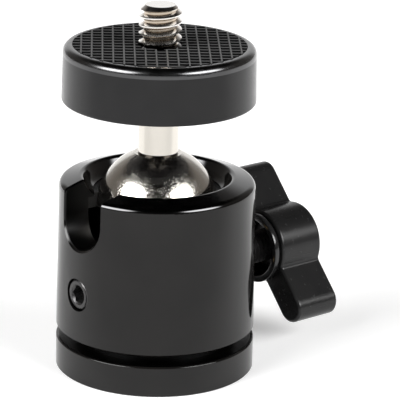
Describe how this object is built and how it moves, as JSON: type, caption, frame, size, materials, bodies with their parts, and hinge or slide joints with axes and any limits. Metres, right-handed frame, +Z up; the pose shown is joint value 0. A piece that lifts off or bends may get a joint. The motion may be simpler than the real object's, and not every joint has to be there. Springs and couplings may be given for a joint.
{
  "type": "tripod ball head",
  "caption": "Compact ball head: a ball stem with a round padded platform and camera screw in a notched round housing, locked by a side wing knob, on a threaded base.",
  "frame": {"origin": "centre of the tripod thread's mouth in the underside of the base plate", "axes": "+Z up along the camera screw, +X outwards along the clamp screw to the wing knob, -X through the drop notch"},
  "size_m": [0.0434, 0.03, 0.0558],
  "materials": {
    "gloss_black_anodised": "glossy black anodised aluminium",
    "satin_black_anodised": "satin black anodised aluminium",
    "bare_aluminium": "turned bare aluminium",
    "knob_black": "satin black moulding",
    "collar_black": "gloss black steel",
    "black_oxide": "black oxide steel",
    "nylon_black": "moulded nylon",
    "nickel": "bright nickel plated steel, finely pitted",
    "stainless": "turned stainless steel",
    "spring_steel": "spring steel",
    "brass": "turned brass",
    "rubber_black": "rubber with a fine raised grid"
  },
  "bodies": {
    "housing_body": {"housing": "gloss_black_anodised", "upper_seat_ring": "nylon_black", "base_plate": "gloss_black_anodised", "base_thread_insert": "stainless", "guide_screw": "black_oxide", "clamp_bush": "brass"},
    "cup_body": {"ball_cup": "nylon_black"},
    "ball_body": {"ball": "nickel"},
    "stem_body": {"stem": "nickel", "platform": "satin_black_anodised", "platform_lock_nut": "stainless", "camera_screw": "stainless", "grip_pad": "rubber_black"},
    "piston_body": {"lift_piston": "bare_aluminium", "preload_wave_spring": "spring_steel"},
    "wedge_body": {"wedge_pin": "brass"},
    "knob_body": {"clamp_screw": "black_oxide", "wing_knob": "knob_black", "knob_collar": "collar_black", "knob_insert": "black_oxide"}
  },
  "joints": [
    {"name": "pan", "type": "hinge", "parent": "housing_body", "child": "cup_body", "pos_m": [0, 0, 0.0248], "axis": [0, 0, 1], "range_deg": [0, 360]},
    {"name": "lean", "type": "hinge", "parent": "cup_body", "child": "ball_body", "pos_m": [0, 0, 0.0248], "axis": [0, -1, 0], "range_deg": [-40, 90]},
    {"name": "swivel", "type": "hinge", "parent": "ball_body", "child": "stem_body", "pos_m": [0, 0, 0.0248], "axis": [0, 0, 1], "continuous": true},
    {"name": "clamp_feed", "type": "slide", "parent": "housing_body", "child": "wedge_body", "axis": [1, 0, 0], "range_m": [0, 0.0006]},
    {"name": "clamp_turn", "type": "hinge", "parent": "wedge_body", "child": "knob_body", "pos_m": [0.01225, 0, 0.01435], "axis": [1, 0, 0], "range_deg": [0, 270]},
    {"name": "piston_lift", "type": "slide", "parent": "housing_body", "child": "piston_body", "axis": [0, 0, 1], "range_m": [-0.00035, 0]}
  ],
  "couplings": [
    {"joint": "clamp_turn", "follows": "clamp_feed", "rad_per_m": 7854},
    {"joint": "piston_lift", "follows": "clamp_feed", "ratio": -0.57735}
  ]
}
